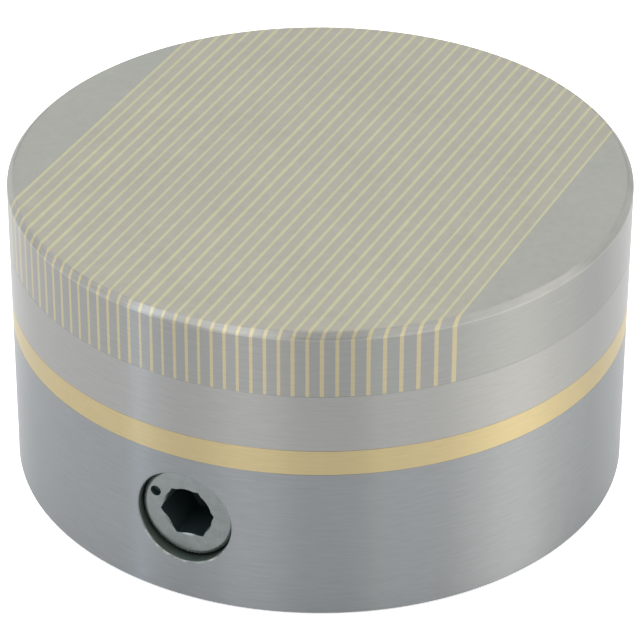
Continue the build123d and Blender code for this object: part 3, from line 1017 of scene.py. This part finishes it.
# %% [markdown]
# ## Screws in the underside
#
# A cap screw is a short cylinder on a long one, with its top edge rounded and a hexagon socket. One is
# modelled and copied to each hole, each copy with its own mesh. The stop screw has no head: it is a
# threaded plug whose thinner tip, the dog, runs in the slot of the shaft.

# %% Model one cap screw and copy it
head_size = 3.5 * MM
head_bottom = 0.6 * MM
screw_size = 2.0 * MM
screw_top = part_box("case_screws")[1].z
socket_size = 3.0 * MM / math.sqrt(3)
socket_floor = head_bottom + 2.0 * MM
first = screw_places[0]
cap = upright("case_screws_black", head_size, head_bottom, screw_seat, first.x, first.y, sides=64)
soften(cap, at_height(head_bottom), 0.35 * MM, 3)
shank_start = screw_seat - cutting_run
cut(cap, upright("shank", screw_size, shank_start, screw_top, first.x, first.y, sides=32), "UNION")
cut(cap, upright("hexagon", socket_size, head_bottom - cutting_run, socket_floor, first.x, first.y, sides=6))
caps = [cap]
for place in screw_places[1:]:
    twin = cap.copy()
    twin.data = cap.data.copy()
    bpy.context.collection.objects.link(twin)
    twin.location = (place.x - first.x, place.y - first.y, 0)
    caps.append(settle(twin, "cap"))
caps = join("case_screws_black", caps)
paint(caps, black_oxide)
smooth(caps)
place_piece(caps, "case", "screw_steel", "case_screws")

# %% Model the stop screw
thread_top = 6.5 * MM
dog_radius = 1.5 * MM
dog_start = thread_top - cutting_run
stop_socket_floor = stop_low.z + 3.0 * MM
stop = upright("stop_screw_black", stop_radius, stop_low.z, thread_top, 0, stop_y, sides=64)
soften(stop, at_height(stop_low.z), 0.3 * MM, 2)
cut(stop, upright("dog", dog_radius, dog_start, stop_high.z, 0, stop_y, sides=48), "UNION")
cut(stop, upright("hexagon", socket_size, stop_low.z - cutting_run, stop_socket_floor, 0, stop_y, sides=6))
paint(stop, black_oxide)
smooth(stop)
place_piece(stop, "case", "screw_steel", "stop_screw")

# %% [markdown]
# ## The inner pieces
#
# The magnets, the carrier and the drive never show from outside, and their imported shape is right, so
# each keeps its mesh and gets a finish of its own.

# %% Give the inner pieces their finishes
inner_finishes = {
    "slip_sheet": sheet_brass,
    "fixed_pole_bars": inner_iron,
    "fixed_magnets": magnet_nickel,
    "moving_pole_bars": inner_iron,
    "moving_magnets": magnet_nickel,
    "magnet_carrier": aluminium,
    "guide_key_front": sheet_brass,
    "guide_key_rear": sheet_brass,
    "guide_key_screws": black_oxide,
    "shaft_o_ring": rubber,
    "shaft_bush": bronze,
    "drive_block": bronze,
    "locating_dowels": dowel_steel,
}
for node, finish in inner_finishes.items():
    paint(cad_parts[node], finish)
print("inner pieces", len(inner_finishes))

# %% [markdown]
# ## The studio
#
# The photograph has a pure white ground with no shadow, as on a sheet that is lit from below. The side
# of the chuck mirrors that sheet, and the work face mirrors what stands behind it. White paper under
# lamps alone would show the chuck's shadow, so this paper also glows by itself. The same paper is used
# twice, so its maker can let it glow more along the middle.

# %% Lay the floor
bpy.context.scene.view_settings.view_transform = "Standard"
bpy.ops.object.select_all(action="DESELECT")
bpy.ops.mesh.primitive_plane_add(size=6, location=(0, 0, 0))
floor = settle(bpy.context.object, "floor")
paper_glow = 0.5


def lit_paper(name, brightest=0.0, colour=(1, 1, 1)):
    """White paper that is lit from below, and more along the middle of its UV map if that is asked."""
    material, start = new_finish(name)
    fibre = noise(start, stretched(start, even(300)))
    paper = fibre.mix((0.86, 0.86, 0.86, 1), (0.9, 0.9, 0.9, 1))
    glow = {"Emission Color": (1, 1, 1, 1), "Emission Strength": paper_glow}
    if brightest:
        place = start.node("ShaderNodeTexCoord", output="UV")
        across = start.node("ShaderNodeSeparateXYZ", inputs={0: place})
        hump = 4 * across * (1 - across)
        glow = {"Emission Color": (hump * hump * brightest + paper_glow).times_colour(colour)}
        glow["Emission Strength"] = 1.0
    close_finish(start, paper, 0.9, **glow)
    return material


paint(floor, lit_paper("lit_paper"))
print("floor glow", paper_glow)

# %% [markdown]
# ## The lights
#
# A room has some light of its own, and soft boxes give the rest. In Blender a box is an area light: its
# power is spread over its face, so a helper works the power out from the brightness that is wanted.

# %% Light the room, and make a tool that hangs a box
world = bpy.data.worlds.new("studio")
bpy.context.scene.world = world
world.use_nodes = True
background = world.node_tree.nodes["Background"]
background.inputs["Color"].default_value = (0.95, 0.97, 1.0, 1)
background.inputs["Strength"].default_value = 0.42
light_distance = 1.3
light_height = 1.1


def hang_light(name, place, width, height, brightness, colour=(1, 1, 1)):
    """A rectangular light that faces the chuck. Brightness 1 looks as bright as white paper."""
    bpy.ops.object.light_add(type="AREA", location=place)
    light = bpy.context.object
    light.name = name
    light.rotation_mode = "QUATERNION"
    light.rotation_quaternion = (place - aim).to_track_quat("Z", "Y")
    light.visible_camera = False
    light.data.shape = "RECTANGLE"
    light.data.size = width
    light.data.size_y = height
    light.data.energy = brightness * width * height * math.pi
    light.data.color = colour


print("room light", background.inputs["Strength"].default_value)

# %% [markdown]
# ## Boxes that stand round it
#
# Each standing box is mirrored by one part of the case. They leave the broad pale bands, and the gaps
# between them leave the darker ones. Two narrow tubes give the bright lines beside the socket and right
# of the middle. A box is placed by the two angles between which the chuck sees it, because each edge of
# a band in the photograph gives one such angle.

# %% Stand the boxes


def standing_box(name, first, last, brightness, colour=(1, 1, 1)):
    """A soft box on the floor that fills the view from the chuck between two angles."""
    outward = direction(math.radians((first + last) / 2), 0)
    width = 2 * light_distance * math.tan(math.radians((last - first) / 2))
    place = Vector((0, 0, light_height / 2)) + outward * light_distance
    hang_light(name, place, width, light_height, brightness, colour)


standing_box("box_far_left", -128, -90, 0.7, (0.99, 1.0, 1.0))
standing_box("box_left", -90, -44, 0.98, (0.99, 1.0, 0.99))
standing_box("tube_left", -40, -36.5, 5.4, (0.8, 0.98, 1.25))
standing_box("box_front", -8, 14, 1.02, (1.0, 1.0, 0.98))
standing_box("tube_front", 44, 46.5, 3.0, (0.95, 1.05, 0.85))
standing_box("box_front_right", 48, 83, 1.25)
standing_box("box_right", 83, 110, 1.3, (1, 0.99, 0.96))
standing_box("box_right_fade", 111, 130, 1.5, (1, 0.99, 0.97))
standing_box("box_far_right", 131, 168, 0.66, (1, 0.99, 0.97))

# %% [markdown]
# ## Boxes that hang above it
#
# The work face mirrors the box behind the chuck, and the chamfer round its edge mirrors the boxes above.
# The case is turned in lines, so each part of the chamfer sees a tall narrow piece of the studio, and
# the two small high boxes brighten only the parts of it at the left and the right.

# %% Hang the boxes


def hung_box(name, azimuth, elevation, distance, width, height, brightness, colour=(1, 1, 1)):
    """A soft box that hangs in one direction from the chuck."""
    place = aim + direction(math.radians(azimuth), math.radians(elevation)) * distance
    hang_light(name, place, width, height, brightness, colour)


hung_box("box_behind", 205, 40, 1.6, 2.6, 1.5, 0.9, (1, 1, 0.99))
hung_box("box_above", 25, 84, light_distance, 1.9, 1.9, 1.1)
hung_box("box_above_left", -26, 50, light_distance, 0.98, 0.6, 2.2)
hung_box("box_above_right", 113, 42, light_distance, 0.85, 0.6, 1.0)
hung_box("box_high_left", -74, 49, light_distance, 0.5, 0.45, 0.9)
hung_box("box_high_right", 152, 35, light_distance, 0.4, 0.3, 0.7)

# %% [markdown]
# ## A brighter sheet on the floor
#
# The broadest band of the case, right of its middle, is brighter than the boxes make it. A stronger box
# would do it, but seen from the left the work face would mirror that box and turn white. The case also
# mirrors the floor near its foot, so a brighter sheet lies there, and no other view sees it in the work
# face. A mirrored direction turns twice as fast as the wall does, so the foot of the sheet follows half
# of that angle, and the glow rises and falls softly across it.

# %% Lay the brighter sheet
sheet_reach = 0.35
sheet_gap = 0.5 * MM
sheet_rise = Vector((0, 0, 0.1 * MM))
bright_first = 67
bright_last = 135
bpy.ops.object.select_all(action="DESELECT")
bpy.ops.mesh.primitive_grid_add(x_subdivisions=20, y_subdivisions=2, size=1, calc_uvs=True)
bright_sheet = settle(bpy.context.object, "bright_sheet")
for corner in bright_sheet.data.vertices:
    mirrored = math.radians(bright_first + (corner.co.x + 0.5) * (bright_last - bright_first))
    foot = direction((mirrored + camera_azimuth) / 2, 0) * (radius + sheet_gap)
    corner.co = foot + direction(mirrored, 0) * sheet_reach * (corner.co.y + 0.5) + sheet_rise
paint(bright_sheet, lit_paper("bright_paper", 1.05, (1, 0.97, 0.89)))
print("sheet of", len(bright_sheet.data.polygons), "faces from", bright_first, "to", bright_last, "degrees")

# %% [markdown]
# ## A black card
#
# Above the socket and just right of it the case has its darkest band. A gap between two boxes isn't
# dark enough for that, because the room is pale too, so a black card stands in the gap, as
# photographers do it.

# %% Stand the black card in its gap
card_paint, card_start = new_finish("black_card")
close_finish(card_start, (0.01, 0.01, 0.01, 1), 0.9)
card_side = direction(math.radians(-23), 0)
card_distance = 1.25
card_height = 1.0
bpy.ops.object.select_all(action="DESELECT")
card_place = card_side * card_distance + Vector((0, 0, card_height / 2))
bpy.ops.mesh.primitive_plane_add(size=1, location=card_place)
card = bpy.context.object
card.rotation_mode = "QUATERNION"
card.rotation_quaternion = card_side.to_track_quat("Z", "Y")
card.scale = (0.36, card_height, 1)
settle(card, "dark_card")
paint(card, card_paint)
print("card at", card_distance, "m")
